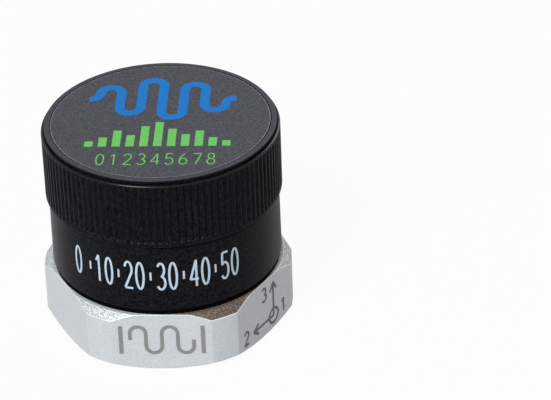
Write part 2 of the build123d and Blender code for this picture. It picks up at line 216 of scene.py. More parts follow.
# %% [markdown]
# ## How a finish is made
#
# A plain colour looks like a toy, and a photograph wrapped round a piece would blur and show
# seams. A pattern that Blender works out has neither fault. So a material here starts from
# the Principled shader, and its colour wanders between two tones along a noise that is read
# in Object coordinates. These are metres on the real sensor, so a grain of a tenth of a
# millimetre has the same size on every piece. A second, finer noise drives a small bump.
# Numbers that are the same all over sit on the shader's own sockets.

# %% A new material, and where its patterns are read
def shader_of(name, **sockets):
    """A new material, its nodes and its Principled shader, with these sockets set."""
    material = bpy.data.materials.new(name)
    material.use_nodes = True
    tree = material.node_tree
    tree.nodes.clear()
    values = {socket.replace("_", " "): value for socket, value in sockets.items()}
    shader = wired(tree, "ShaderNodeBsdfPrincipled", values)
    wired(tree, "ShaderNodeOutputMaterial", {"Surface": shader.outputs[0]})
    return material, tree, shader


def object_place(tree, stretch=(1, 1, 1)):
    """Object coordinates in metres, stretched along each axis."""
    place = wired(tree, "ShaderNodeTexCoord").outputs["Object"]
    return wired(tree, "ShaderNodeMapping", {"Vector": place, "Scale": stretch}).outputs[0]


def split_place(tree):
    """The x, y and z of the Object coordinates."""
    return wired(tree, "ShaderNodeSeparateXYZ", {0: object_place(tree)}).outputs


def axis_distance(tree, place):
    """The distance from the sensor's axis: the length of (x, y)."""
    flat = wired(tree, "ShaderNodeCombineXYZ", {0: place[0], 1: place[1]}).outputs[0]
    return wired(tree, "ShaderNodeVectorMath", {0: flat}, operation="LENGTH").outputs["Value"]


print("helpers: shader_of, object_place, split_place, axis_distance")

# %% Noise and tones
def noise(tree, grain_mm, place=None, detail=3.0):
    """A noise of 0 to 1 whose blobs are about grain_mm across."""
    inputs = {"Vector": place or object_place(tree), "Scale": 1 / (grain_mm * MM), "Detail": detail}
    return wired(tree, "ShaderNodeTexNoise", inputs).outputs["Fac"]


def ramp(tree, value, stops):
    """Maps a value to a colour through stops of (position, colour)."""
    node = wired(tree, "ShaderNodeValToRGB", {0: value})
    elements = node.color_ramp.elements
    while len(elements) < len(stops):
        elements.new(0.5)
    for element, (position, colour) in zip(elements, stops):
        element.position = position
        element.color = (*colour, 1.0)
    return node.outputs[0]


print("helpers: noise, ramp")

# %% Steps, mixes and bumps
def shares(tree, value, low, high):
    """0 below low, 1 above high, and a smooth step between."""
    inputs = {"Value": value, "From Min": low, "From Max": high}
    return wired(tree, "ShaderNodeMapRange", inputs, interpolation_type="SMOOTHSTEP").outputs[0]


def mixed(tree, share, first, second):
    """One colour into another along a share of 0 to 1."""
    colours = [c if isinstance(c, bpy.types.NodeSocket) else (*c, 1.0) for c in (first, second)]
    inputs = {0: share, 6: colours[0], 7: colours[1]}
    return wired(tree, "ShaderNodeMix", inputs, data_type="RGBA").outputs[2]


def bumped(tree, shader, height, depth_mm):
    """Lets a height of 0 to 1 raise the surface by depth_mm."""
    bump = wired(tree, "ShaderNodeBump", {"Height": height, "Distance": depth_mm * MM})
    tree.links.new(bump.outputs[0], shader.inputs["Normal"])


print("helpers: shares, mixed, bumped")

# %% A moulded finish
def moulded(
    name, dark, light, roughness, patch_mm=0.6, grain_mm=0.08, depth_mm=0.004, spread=0.2, **sockets
):
    """Two near tones in patches, and a fine grain. A small spread cuts the patches hard."""
    material, tree, shader = shader_of(name, Roughness=roughness, **sockets)
    tones = ((0.5 - spread, dark), (0.5 + spread, light))
    tree.links.new(ramp(tree, noise(tree, patch_mm), tones), shader.inputs["Base Color"])
    bumped(tree, shader, noise(tree, grain_mm, detail=2.0), depth_mm)
    return material


print("helper: moulded")

# %% [markdown]
# ## Black plastic and rubber
#
# The cap and the housing are one satin black plastic with a very fine spark-eroded grain. A
# single black would lose every rib, so its patches run from nearly nothing to a dark grey,
# and the mirror part is kept low. The crown is smoother, and its top is painted a far lighter
# grey as painted light, for the light it catches from above. The shoulder under it is
# polished by handling. The rubber seals are duller and softer, with more bump.

# %% Black finishes
plastic_grain = {"patch_mm": 0.34, "grain_mm": 0.14}
rubber_grain = {"patch_mm": 0.8, "grain_mm": 0.12, "depth_mm": 0.01}

black_plastic = moulded(
    "black_housing", (0.0008, 0.0008, 0.0014), (0.0105, 0.0105, 0.013), 0.3,
    depth_mm=0.008, spread=0.12, Specular_IOR_Level=0.075, **plastic_grain,
)
# Painted light: the crown's upward face is a far lighter grey than the black plastic of the same
# moulding, standing for the light it catches from above. It is also smoother.
crown_painted_light = moulded(
    "crown_painted_sheen", (0.026, 0.028, 0.034), (0.036, 0.038, 0.046), 0.5,
    patch_mm=0.4, grain_mm=0.12, Specular_IOR_Level=0.25,
)
shoulder_sheen = moulded(
    "shoulder_sheen", (0.001, 0.001, 0.0016), (0.006, 0.006, 0.0075), 0.2,
    depth_mm=0.003, Specular_IOR_Level=0.24, **plastic_grain,
)
black_rubber = moulded(
    "black_rubber", (0.008, 0.008, 0.008), (0.016, 0.016, 0.016), 0.8,
    Specular_IOR_Level=0.15, **rubber_grain,
)
# Painted shade: the base seal's rubber is far darker than the cap seal's, standing for the shade in
# the gap between base and housing.
rubber_painted_shade = moulded(
    "rubber_painted_shade", (0.001, 0.001, 0.001), (0.002, 0.002, 0.002), 0.8,
    Specular_IOR_Level=0.03, **rubber_grain,
)
black_finishes = (black_plastic, crown_painted_light, shoulder_sheen, black_rubber, rubber_painted_shade)
print("black finishes", [material.name for material in black_finishes])

# %% [markdown]
# ## The metal of the base
#
# The base is light anodised aluminium. Its flats are milled and bead-blasted, so they look
# almost like pale matt paint. Its chamfers and top are left as turned: fine rings that
# sparkle. An anisotropic shader could stretch the highlight as such rings do, but it would
# show no single cuts, so the rings are a noise read in (radius, height) that runs round the
# axis. The cutter leaves a thin bright edge where it breaks from a flat into a chamfer.

# %% The blasted flats
def blasted_metal():
    """Pale anodised aluminium with a fine, even grain."""
    material, tree, shader = shader_of("blasted_aluminium", Metallic=0.3, Roughness=0.62)
    tones = ((0.3, (0.585, 0.60, 0.62)), (0.7, (0.69, 0.705, 0.725)))
    tone = ramp(tree, noise(tree, 0.3, detail=4.0), tones)
    tree.links.new(tone, shader.inputs["Base Color"])
    bumped(tree, shader, noise(tree, 0.11, detail=2.0), 0.006)
    return material


blasted_aluminium = blasted_metal()
print(blasted_aluminium.name, len(blasted_aluminium.node_tree.nodes), "nodes")

# %% The turned faces and their painted brown reflection
ring_spacing, speck_size = 0.18, 0.2
bright_tones = ((0.4, (0.27, 0.28, 0.28)), (0.5, (0.49, 0.51, 0.51)), (0.6, (0.76, 0.78, 0.78)))
# Painted reflection: towards two opposite corners of its top, the turned metal is coloured brown,
# standing in for dark brown surroundings mirrored in it.
painted_reflection_tones = (
    (0.38, (0.055, 0.040, 0.030)), (0.5, (0.128, 0.098, 0.076)), (0.62, (0.27, 0.22, 0.18))
)
painted_reflection_turn = math.radians(-58.0)
painted_reflection_from, painted_reflection_full = 13.0 * MM, 16.6 * MM
painted_reflection_foot, painted_reflection_rise = 5.0 * MM, 7.0 * MM


def rings_place(tree, across_mm, along_mm):
    """Coordinates that run quickly across the turned rings and slowly round the axis."""
    place = split_place(tree)
    across = worked_out(tree, "SUBTRACT", axis_distance(tree, place), place[2])
    steps = ((across, across_mm), (place[0], along_mm), (place[1], along_mm))
    grains = [worked_out(tree, "MULTIPLY", value, 1 / (grain * MM)) for value, grain in steps]
    return wired(tree, "ShaderNodeCombineXYZ", enumerate(grains)).outputs[0]


def tarnish_share(tree):
    """1 where the painted brown reflection is full, from |x cos t + y sin t|, on the upper part only.
    """
    place = split_place(tree)
    ways = (math.cos(painted_reflection_turn), math.sin(painted_reflection_turn))
    along = [worked_out(tree, "MULTIPLY", place[k], way) for k, way in enumerate(ways)]
    reach = worked_out(tree, "ABSOLUTE", worked_out(tree, "ADD", *along))
    outwards = shares(tree, reach, painted_reflection_from, painted_reflection_full)
    upwards = shares(tree, place[2], painted_reflection_foot, painted_reflection_rise)
    return worked_out(tree, "MULTIPLY", outwards, upwards)


def turned_metal(name, along_mm, metallic, depth_mm):
    """Bare turned aluminium: a bright grain, and a painted brown reflection towards two corners of
    its top.

    The cuts scatter light so much that the metal looks half matt: it stays light even where
    it faces the black housing, so only part of it is shaded as a mirror-like metal. A longer
    grain along the turn gives the fine rings of a face that was turned last.
    """
    material, tree, shader = shader_of(name, Metallic=metallic, Specular_IOR_Level=0.3)
    # The rings' place is already counted in grains, so this noise is read at a scale of one.
    rings = noise(tree, 1 / MM, rings_place(tree, ring_spacing, along_mm))
    both = worked_out(tree, "ADD", rings, noise(tree, speck_size, detail=4.0))
    grain = worked_out(tree, "MULTIPLY", both, 0.5)
    bright, brown = ramp(tree, grain, bright_tones), ramp(tree, grain, painted_reflection_tones)
    tree.links.new(mixed(tree, tarnish_share(tree), bright, brown), shader.inputs["Base Color"])
    spans = {"Value": grain, "From Min": 0.35, "From Max": 0.65, "To Min": 0.7, "To Max": 0.5}
    rough = wired(tree, "ShaderNodeMapRange", spans)
    tree.links.new(rough.outputs[0], shader.inputs["Roughness"])
    bumped(tree, shader, grain, depth_mm)
    return material


turned_aluminium = turned_metal("turned_aluminium", along_mm=0.32, metallic=0.28, depth_mm=0.05)
faced_aluminium = turned_metal("faced_aluminium", along_mm=6.0, metallic=0.6, depth_mm=0.012)
bright_edge = moulded(
    "bright_edge", (0.78, 0.79, 0.80), (0.93, 0.94, 0.95), 0.34,
    patch_mm=0.5, depth_mm=0.003, Metallic=0.55,
)
print(turned_aluminium.name, faced_aluminium.name, bright_edge.name)

# %% [markdown]
# ## Surfaces as grids
#
# Nearly every piece here is turned. Blender's Screw modifier could spin a profile too, but it
# can't cut ribs or threads on the way, so the grids are worked out with numpy. A profile is
# a list of points (radius, height), carried round the axis: point (row, column) of the grid
# lies at (r cos a, r sin a, z). Corners of the profile are first rounded by small arcs,
# because a real edge always has a radius, and that radius is what catches the light.

# %% Profiles with rounded corners
default_edge, guard_reach = 0.05, 0.04


def rounded(corners, closed=False, steps=5):
    """Rounds a profile of (r, z, radius) corners, in millimetres.

    At a corner P with unit directions a and b to its neighbours and half their angle h, the
    arc's centre is P + (a + b) / |a + b| * R / sin h, and it touches both sides at R / tan h
    from P. A guard point just beyond each end of the arc keeps the flats flat when shaded.
    A corner of radius 0 stays as it is.
    """
    corners = np.array([(*c, default_edge)[:3] for c in corners], float)
    points, last = [], len(corners) - 1
    for i, (r, z, radius) in enumerate(corners):
        here = np.array((r, z))
        if radius <= 0 or (not closed and i in (0, last)):
            points.append(here[None])
            continue
        a = corners[i - 1, :2] - here
        b = corners[(i + 1) % len(corners), :2] - here
        a, b = a / np.linalg.norm(a), b / np.linalg.norm(b)
        half = math.acos(np.clip(a @ b, -1, 1)) / 2
        reach = radius / math.tan(half)
        centre = here + (a + b) / np.linalg.norm(a + b) * radius / math.sin(half)
        start, stop = here + a * reach - centre, here + b * reach - centre
        sweep = math.pi - 2 * half
        t = np.linspace(0, 1, (steps if radius > 2 * default_edge else 2) + 1)[:, None]
        arc = centre + (np.sin((1 - t) * sweep) * start + np.sin(t * sweep) * stop) / math.sin(sweep)
        side = min(guard_reach, radius)
        points += [(here + a * (reach + side))[None], arc, (here + b * (reach + side))[None]]
    return np.concatenate(points)


print("a rounded corner has", len(rounded([(0, 0), (9, 0, 1), (9, 9)])) - 2, "points")

# %% A profile carried round the axis
def even_angles(columns):
    """This many angles, evenly round the axis."""
    return np.arange(columns) / columns * 2 * math.pi


def round_the_axis(profile, angles, relief=None):
    """Point (row, column) = (r cos a, r sin a, z), with relief(r, z, angle) added to r."""
    r, z = profile[:, :1], profile[:, 1:2]
    radius = np.broadcast_to(r, (len(profile), len(angles))).copy()
    if relief is not None:
        radius += relief(r, z, angles[None])
    height = np.broadcast_to(z, radius.shape)
    return np.stack((radius * np.cos(angles), radius * np.sin(angles), height), axis=-1)


print("a ring of 4:", round_the_axis(np.array([(1.0, 0.0)]), even_angles(4)).round(2).tolist())

# %% Grids to faces
def grid_faces(rows, columns, closed_rows=False):
    """The quads of a grid: each joins (row, column) to the next row and the next column."""
    index = np.arange(rows * columns).reshape(rows, columns)
    if closed_rows:
        index = np.concatenate((index, index[:1]))
    index = np.concatenate((index, index[:, :1]), axis=1)
    quads = np.stack((index[:-1, :-1], index[:-1, 1:], index[1:, 1:], index[1:, :-1]), axis=-1)
    return quads.reshape(-1, 4)


def faces_inwards(points, faces):
    """True if the closed surface's volume, the sum of a . (b x c) / 6, isn't positive."""
    volume = 0.0
    for k in range(1, faces.shape[1] - 1):
        a, b, c = points[faces[:, 0]], points[faces[:, k]], points[faces[:, k + 1]]
        volume += np.einsum("ij,ij->i", a, np.cross(b, c)).sum() / 6
    return volume <= 0


print("a tube of 3 rows and 8 columns has", len(grid_faces(3, 8)), "quads")

# %% A grid with its ends closed
def carried(points, closed_rows=False, poles=(False, False)):
    """A grid of points (rows, columns, 3) to (points, quads, triangles), facing outwards.

    A pole closes an end: its row is one point, and triangles join it to the row beside it.
    """
    rows, columns = points.shape[:2]
    body = points[int(poles[0]) : rows - int(poles[1])]
    flat = body.reshape(-1, 3)
    quads = grid_faces(len(body), columns, closed_rows)
    ring, following = np.arange(columns), np.roll(np.arange(columns), -1)
    everything, fans = [flat], [np.zeros((0, 3), int)]
    if poles[0]:
        everything.append(points[:1, 0])
        fans.append(np.stack((np.full(columns, len(flat)), following, ring), axis=1))
    if poles[1]:
        base, tip = len(flat) - columns, len(flat) + int(poles[0])
        everything.append(points[-1:, 0])
        fans.append(np.stack((np.full(columns, tip), base + ring, base + following), axis=1))
    everything, triangles = np.concatenate(everything), np.concatenate(fans)
    if faces_inwards(everything, quads):
        quads, triangles = quads[:, ::-1], triangles[:, ::-1]
    return everything, quads, triangles


cone = round_the_axis(np.array([(0.0, 1.0), (1.0, 0.0), (0.0, 0.0)]), even_angles(8))
print("a cone of 8 columns has", len(carried(cone, poles=(True, True))[2]), "triangles")

# %% Faces to a piece that rides on a body
def make_piece(name, body, materials, parts, material_of=None, smooth=True):
    """Joins parts of (points, quads, triangles) in millimetres into one mesh on a body."""
    verts, faces, offset = [], [], 0
    for points, quads, triangles in parts:
        verts.append(points)
        faces += (quads + offset).tolist() + (triangles + offset).tolist()
        offset += len(points)
    mesh = bpy.data.meshes.new(name)
    mesh.from_pydata((np.concatenate(verts) * MM).tolist(), [], faces)
    for material in materials:
        mesh.materials.append(material)
    mesh.polygons.foreach_set("use_smooth", np.full(len(faces), smooth))
    if material_of is not None:
        mesh.polygons.foreach_set("material_index", material_of)
    mesh.update()
    if mesh.validate():
        print("mended mesh", name)
    piece = bpy.data.objects.new(name, mesh)
    bpy.context.collection.objects.link(piece)
    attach(piece, body)
    print(f"{name}: {len(verts)} parts, {len(mesh.polygons)} faces")
    return piece


# %% [markdown]
# ## The screw threads
#
# The cap turns four times on a 1.5 mm thread. A thread could be a separate coil laid on the
# wall, but its seam would show, so it is a relief on the neck and in the cap's bore: a ridge
# wherever the height, less the pitch times the turn, falls near the middle of a pitch. The
# cap's own ridge runs half a pitch away, in the neck's groove. A helix slides along itself,
# so the two stay clear of each other however far the cap turns.

# %% The thread's relief
thread_pitch = 1.5
same_place = 1e-6


def thread_ridge(z, angles, low, high, pitch, phase, width=0.44, flank=0.16, run_out=0.8):
    """A ridge of height 0 to 1 along a right-hand helix, fading out over run_out at its ends.

    Its share of the pitch is (z - pitch * a / 2 pi) / pitch - phase, wrapped to -0.5 .. 0.5.
    """
    share = (z - pitch * angles / (2 * math.pi)) / pitch - phase
    share = np.abs(share - np.round(share))
    ridge = np.clip((width / 2 - share) / flank + 0.5, 0, 1)
    ends = np.clip(np.minimum(z - low, high - z) / run_out, 0, 1)
    return ridge * ends


def threaded(wall_radius, depth, span, pitch, phase, **form):
    """A relief that raises a thread by depth on the wall of this radius alone."""
    def relief(r, z, angles):
        on_wall = np.abs(r - wall_radius) < same_place
        return depth * on_wall * thread_ridge(z, angles, *span, pitch, phase, **form)
    return relief


turn_samples = thread_ridge(5.0, even_angles(360), 0.0, 10.0, thread_pitch, 0.0)
print(f"the ridge fills {turn_samples.mean():.2f} of a turn")

# %% [markdown]
# ## The ribbed cap
#
# The cap has 108 fine upright ribs between a plain lower rim and a stepped crown. The ribs
# could be modelled one by one, but on a grid they are only a relief: the radius sinks
# between the ribs by a depth that follows the angle. Eight columns a rib are placed where
# its section bends, so no face is wasted, and a few rows at each end let the grooves run out.

# %% The ribs
rib_count, rib_depth = 108, 0.32
rib_bottom, rib_top = 22.7, 32.26

# Where a rib's section bends, as shares of its pitch, and how deep it is there
rib_section = np.array(
    ((-0.25, 0.24), (-0.14, 0.05), (0.0, 0.0), (0.14, 0.05))
    + ((0.25, 0.24), (0.36, 0.85), (0.5, 1.0), (0.64, 0.85))
)
rib_turns = (np.arange(rib_count)[:, None] + rib_section[None, :, 0]) / rib_count
cap_angles = (rib_turns * 2 * math.pi).ravel()
groove_depths = np.tile(rib_section[:, 1], rib_count)

# How far from a groove's end its rows lie, and what share of its depth it has there
groove_ends = np.array((0.0, 0.05, 0.14, 0.3))
groove_end_depths = np.array((0.0, 0.55, 0.92, 1.0))
rib_rows = np.concatenate((rib_bottom + groove_ends, rib_top - groove_ends[::-1]))
print(rib_count, "ribs on", len(cap_angles), "columns")

# %% The cap's profile, from the crown's middle down the outside and up the bore
cap_radius = 18.0
cap_foot, cap_shoulder, cap_top = 21.9, 32.56, 33.25
crown_radius, groove_radius, crown_foot = 17.5, 17.25, 32.76
recess_radius, recess_floor = 16.7, 33.0
roof_underside, gasket_ceiling = 30.9, 31.4
cap_bore, gasket_inner = 16.3, 14.35
bore_rows = np.arange(30.6, 22.6, -thread_pitch / 6)[::-1]

cap_corners = (
    [(0, recess_floor), (recess_radius, recess_floor), (recess_radius, cap_top, 0.06)]
    + [(crown_radius, cap_top, 0.12), (crown_radius, crown_foot, 0.06)]
    + [(groove_radius, crown_foot), (groove_radius, cap_shoulder)]
    + [(cap_radius, cap_shoulder, 0.24)]
    + [(cap_radius, z, 0) for z in rib_rows[::-1]]
    + [(cap_radius, cap_foot, 0.18), (cap_bore, cap_foot, 0.25)]
    + [(cap_bore, z, 0) for z in bore_rows]
    + [(cap_bore, gasket_ceiling), (gasket_inner, gasket_ceiling)]
    + [(gasket_inner, roof_underside), (0, roof_underside)]
)
cap_profile = rounded(cap_corners)
print("the cap's profile has", len(cap_profile), "rows")

# %% The cap
cap_thread_height, cap_thread_span, cap_thread_width = 0.22, (22.6, 30.4), 0.34
half_a_pitch = 0.5
cap_thread = threaded(
    cap_bore, -cap_thread_height, cap_thread_span, thread_pitch, half_a_pitch,
    width=cap_thread_width,
)


def cap_relief(r, z, angles):
    """Sinks the grooves between the ribs, and raises the inner thread."""
    ribbed = (z > rib_bottom - same_place) * (z < rib_top + same_place)
    outside = (np.abs(r - cap_radius) < same_place) * ribbed
    fade = np.interp(z, rib_bottom + groove_ends, groove_end_depths)
    fade = fade * np.interp(-z, -rib_top + groove_ends, groove_end_depths)
    return -rib_depth * outside * fade * groove_depths + cap_thread(r, z, angles)


# The crown's top, painted lighter as painted light, and the rounded shoulder have finishes
# of their own, told apart row by row.
row_radius, row_height = cap_profile[1:-2, 0], cap_profile[1:-2, 1]
on_crown = (row_height > cap_top - 0.05) & (row_radius > recess_radius - 0.01)
on_shoulder = (row_height > rib_top + 0.02) & (row_height < cap_shoulder + 0.01)
on_shoulder &= row_radius > groove_radius + 0.3
cap_columns = len(cap_angles)
cap_finishes = np.repeat(1 * on_crown + 2 * on_shoulder, cap_columns)
cap_finishes = np.concatenate((cap_finishes, np.zeros(2 * cap_columns, int)))
cap_grid = round_the_axis(cap_profile, cap_angles, cap_relief)
cap = make_piece(
    "ribbed_cap", "cap", [black_plastic, crown_painted_light, shoulder_sheen],
    [carried(cap_grid, poles=(True, True))], material_of=cap_finishes,
)
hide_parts("cap")

# %% [markdown]
# ## The tube housing
#
# A plain drafted tube with a small rebate at its foot. Above its shoulder stands the
# threaded neck, which shows only when the cap is unscrewed, and inside it has a flange for
# the screws. Outside and inside could be two tubes joined at the rims, but the joins would
# need mending, so the whole section is one closed profile and the mesh is a closed ring.

# %% The housing
shell_foot, shell_shoulder, neck_top = 10.4, 21.6, 30.3
shell_foot_radius, shell_top_radius = 17.6, 17.5
rebate_radius, rebate_top = 17.3, 10.72
neck_radius, shell_bore, flange_bore, socket_bore = 16.0, 14.45, 11.0, 15.65
flange_foot, flange_top = 13.2, 14.8
neck_rows = np.arange(22.4, 29.8, thread_pitch / 12)
neck_thread_height, neck_thread_span = 0.24, (22.5, 29.7)
neck_thread = threaded(neck_radius, neck_thread_height, neck_thread_span, thread_pitch, 0.0)

shell_corners = (
    [(socket_bore, shell_foot, 0.1), (rebate_radius, shell_foot), (rebate_radius, rebate_top)]
    + [(shell_foot_radius, rebate_top, 0.2), (shell_top_radius, shell_shoulder, 0.3)]
    + [(neck_radius, shell_shoulder, 0.12)]
    + [(neck_radius, z, 0) for z in neck_rows]
    + [(neck_radius, neck_top, 0.35), (shell_bore, neck_top, 0.15), (shell_bore, flange_top)]
    + [(flange_bore, flange_top, 0.1), (flange_bore, flange_foot, 0.1)]
    + [(socket_bore, flange_foot)]
)
shell_profile = rounded(shell_corners, closed=True, steps=6)
shell_grid = round_the_axis(shell_profile, even_angles(288), neck_thread)
shell = make_piece(
    "tube_housing", "housing", [black_plastic],
    [carried(shell_grid, closed_rows=True)],
)
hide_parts("body_shell")

# %% [markdown]
# ## The two seals
#
# Flat rubber rings with soft edges. One is squeezed between base and housing and shows as a
# dark line, its rubber painted near black as painted shade for the gap. The other lies in the
# cap's roof on the neck's rim. A torus squashed flat would look like a round cord, so each
# ring is its own rounded section, carried round the axis.

# %% Seals
def flat_ring(inner, outer, low, high, edge):
    """A ring of rectangular section with rounded edges."""
    corners = [(inner, low, edge), (outer, low, edge), (outer, high, edge), (inner, high, edge)]
    profile = rounded(corners, closed=True, steps=4)
    return carried(round_the_axis(profile, even_angles(192)), closed_rows=True)


base_height, base_seal_outer, base_seal_edge = 9.8, 17.38, 0.06
cap_seal_outer, cap_seal_foot, cap_seal_top, cap_seal_edge = 16.2, 30.35, 31.35, 0.25
base_seal = make_piece(
    "base_seal", "housing", [rubber_painted_shade],
    [flat_ring(socket_bore, base_seal_outer, base_height, shell_foot, base_seal_edge)],
)
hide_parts("base_gasket")
cap_seal = make_piece(
    "cap_seal", "cap_gasket", [black_rubber],
    [flat_ring(shell_bore, cap_seal_outer, cap_seal_foot, cap_seal_top, cap_seal_edge)],
)
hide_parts("cap_gasket")

# %% [markdown]
# ## The hex base
#
# The base is a turned bar, chamfered at both ends, with six flats milled on it. Cutting it
# with Boolean modifiers would leave ragged faces, so its outline is worked out: at an angle
# p from a flat's middle it is the smaller of flat / cos p and the bar's radius. A chamfer's
# cone meets a flat in a curve, and a plain stack of rings would cut that curve into steps.
# So the grid's rows follow the edges themselves: one row runs along the curve where cone
# meets flat, and its height changes with the angle.

# %% The base's outline
flat_radius, bar_radius, corner_blend = 17.5, 19.075, 0.05
corner_turn = math.degrees(math.acos(flat_radius / bar_radius))

# Columns for half a side, in degrees from a flat's middle: few on the flat, many at its end
near_corner = corner_turn + np.array((-0.36, -0.13, 0.0, 0.13, 0.36, 0.9))
half_section = np.concatenate(
    (np.linspace(0, corner_turn - 0.8, 15), near_corner, np.linspace(corner_turn + 0.9, 30, 6)[1:])
)
section_turns = np.concatenate((-half_section[:0:-1], half_section[:-1]))
hex_angles = np.radians((np.arange(6)[:, None] * 60 - 90 + section_turns[None]).ravel())
from_flat = np.radians(np.tile(section_turns, 6))


def hex_outline(turn):
    """The smaller of the flat's and the bar's radius, with the corner between blended.

    The blend lowers the smaller one by h * h * k / 4, where h = max(k - |difference|, 0) / k.
    """
    flat = flat_radius / np.cos(turn)
    nearness = np.clip(corner_blend - np.abs(flat - bar_radius), 0, None) / corner_blend
    return np.minimum(flat, bar_radius) - nearness**2 * corner_blend / 4


outline = hex_outline(from_flat)
print(f"{len(outline)} columns, outline {outline.min():.3f} to {outline.max():.3f} mm")

# %% The rows along the base's edges
top_cone_width, top_cone_drop = 1.21, 1.15
foot_cone_width, foot_cone_rise = 1.68, 0.97
least_top_edge, least_foot_edge, edge_break, bright_break = 0.07, 0.14, 0.05, 0.09
edge_guard, flat_guard = 0.12, 0.15

top_edge = np.minimum(outline - least_top_edge, bar_radius - top_cone_width)
top_meet = base_height - (outline - top_edge) * top_cone_drop / top_cone_width
foot_edge = np.minimum(outline - least_foot_edge, bar_radius - foot_cone_width)
foot_meet = (outline - foot_edge) * foot_cone_rise / foot_cone_width
top_slope = np.array((top_cone_width, -top_cone_drop))
top_slope /= math.hypot(*top_slope)
foot_slope = np.array((foot_cone_width, foot_cone_rise))
foot_slope /= math.hypot(*foot_slope)


def edge_rows(radius, height, before, after, reach):
    """Two rows, one each side of an edge, at this reach along the surfaces that meet there."""
    return [(radius + way[0] * reach, height + way[1] * reach) for way in (before, after)]


top_level, foot_level = np.full_like(outline, base_height), np.zeros_like(outline)
cone_length = (outline - top_edge) * math.hypot(1, top_cone_drop / top_cone_width)
top_break = np.minimum(edge_break, cone_length / 4)
bright_line = np.minimum(bright_break, cone_length / 2)
outer_rows = [(top_edge - edge_guard, top_level)]
outer_rows += edge_rows(top_edge, top_level, (-1, 0), top_slope, top_break)
outer_rows += edge_rows(outline, top_meet, -top_slope, (0, -1), bright_line)
outer_rows += [(outline, top_meet - flat_guard), (outline, foot_meet + flat_guard)]
outer_rows += edge_rows(outline, foot_meet, (0, 1), -foot_slope, edge_break)
outer_rows += edge_rows(foot_edge, foot_level, foot_slope, (-1, 0), edge_break)
outer_rows += [(foot_edge - edge_guard, foot_level)]
outer_grid = np.stack(
    [np.stack((r * np.cos(hex_angles), r * np.sin(hex_angles), z), axis=-1) for r, z in outer_rows]
)
print(len(outer_rows), "rows follow the edges")

# %% The pocket above and the stud hole below
spigot_radius, spigot_top, pocket_radius, pocket_floor = 15.55, 13.2, 11.2, 8.4
stud_radius, stud_pitch, stud_end, stud_tip = 2.75, 0.907, 5.9, 6.8
stud_lead_in, under_ring = 0.7, 12.0
stud_rows = np.arange(0.75, 5.8, stud_pitch / 8)
stud_thread_height, stud_thread_span, stud_run_out = 0.3, (0.2, 5.6), 0.5
stud_thread = threaded(
    stud_radius, stud_thread_height, stud_thread_span, stud_pitch, 0.0, run_out=stud_run_out
)

inside_profile = rounded(
    [(0, pocket_floor), (pocket_radius, pocket_floor, 0.2), (pocket_radius, spigot_top, 0.12)]
    + [(spigot_radius, spigot_top, 0.25), (spigot_radius, base_height)]
    + [(spigot_radius + 0.4, base_height)]
)
under_profile = rounded(
    [(under_ring, 0.0), (stud_radius + stud_lead_in, 0.0), (stud_radius, stud_lead_in)]
    + [(stud_radius, z, 0) for z in stud_rows]
    + [(stud_radius, stud_end), (0, stud_tip)]
)
inside_grid = round_the_axis(inside_profile, hex_angles)
under_grid = round_the_axis(under_profile, hex_angles, stud_thread)
base_grid = np.concatenate((inside_grid, outer_grid, under_grid))
print(f"{len(base_grid)} rows, {len(hex_angles)} columns")

# %% Bosses in the pocket for the board's screws
boss_reach, boss_foot, boss_top = 8.6, 8.3, 10.0
boss_bore, boss_radius = 0.85, 1.7
boss_corners = [(boss_bore, boss_foot), (boss_radius, boss_foot)]
boss_corners += [(boss_radius, boss_top, 0.12), (boss_bore, boss_top)]
boss_grid = round_the_axis(rounded(boss_corners, closed=True, steps=2), even_angles(32))
boss_points, boss_quads, no_triangles = carried(boss_grid, closed_rows=True)
boss_turns = np.radians((30, 150, 270))
boss_places = boss_reach * np.stack((np.cos(boss_turns), np.sin(boss_turns), 0 * boss_turns), axis=1)
bosses = [(boss_points + place, boss_quads, no_triangles) for place in boss_places]
print(len(bosses), "bosses of", len(boss_quads), "faces")

# %% The base, with a finish for each row of faces
base_columns = len(hex_angles)
first_outer = len(inside_grid) - 1
finish_of_row = np.full(len(base_grid) - 3, 1)
finish_of_row[first_outer + 3] = 2
finish_of_row[first_outer + 4 : first_outer + 8] = 0
finish_of_row[first_outer + 8 :] = 3
base_finishes = np.concatenate(
    (np.repeat(finish_of_row, base_columns), np.ones(2 * base_columns + 3 * len(boss_quads), int))
)
hex_base = make_piece(
    "hex_base_metal", "housing",
    [blasted_aluminium, turned_aluminium, bright_edge, faced_aluminium],
    [carried(base_grid, poles=(True, True)), *bosses], material_of=base_finishes,
)
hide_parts("hex_base")

# %% [markdown]
# ## Marks as carried strokes
#
# The sensor is printed on its label and housing and engraved on its base. A font or a
# picture could give such marks, but a carried section needs neither and follows a round
# wall: a flat section, as wide as a pen, goes along a path. The path lives on a flat sheet
# with coordinates (u, v), and a last step lays that sheet on the label, round the housing or
# against a flat. What the marks say is generic: a wave, bars, ticks and plain numbers.

# %% Strokes
mark_height = 0.02


def stroke(path, width):
    """A thin bar along a path: its section is carried square to it, in (u, v, height)."""
    path = np.asarray(path, float)
    ahead = np.gradient(path, axis=0)
    ahead /= np.linalg.norm(ahead, axis=1, keepdims=True)
    side = np.stack((-ahead[:, 1], ahead[:, 0]), axis=1) * width / 2
    left, right = path + side, path - side
    low, high = np.zeros(len(path)), np.full(len(path), mark_height)
    edges = ((right, low), (right, high), (left, high), (left, low))
    points = np.stack([np.column_stack(edge) for edge in edges], axis=1)
    tip = (len(path) - 1) * 4
    ends = np.array(((0, 1, 2, 3), (tip + 3, tip + 2, tip + 1, tip)))
    quads = np.concatenate((grid_faces(len(path), 4), ends))
    return points.reshape(-1, 3), quads, np.zeros((0, 3), int)


print("a stroke of 2 points has", len(stroke([(0, 0), (1, 0)], 0.1)[1]), "faces")

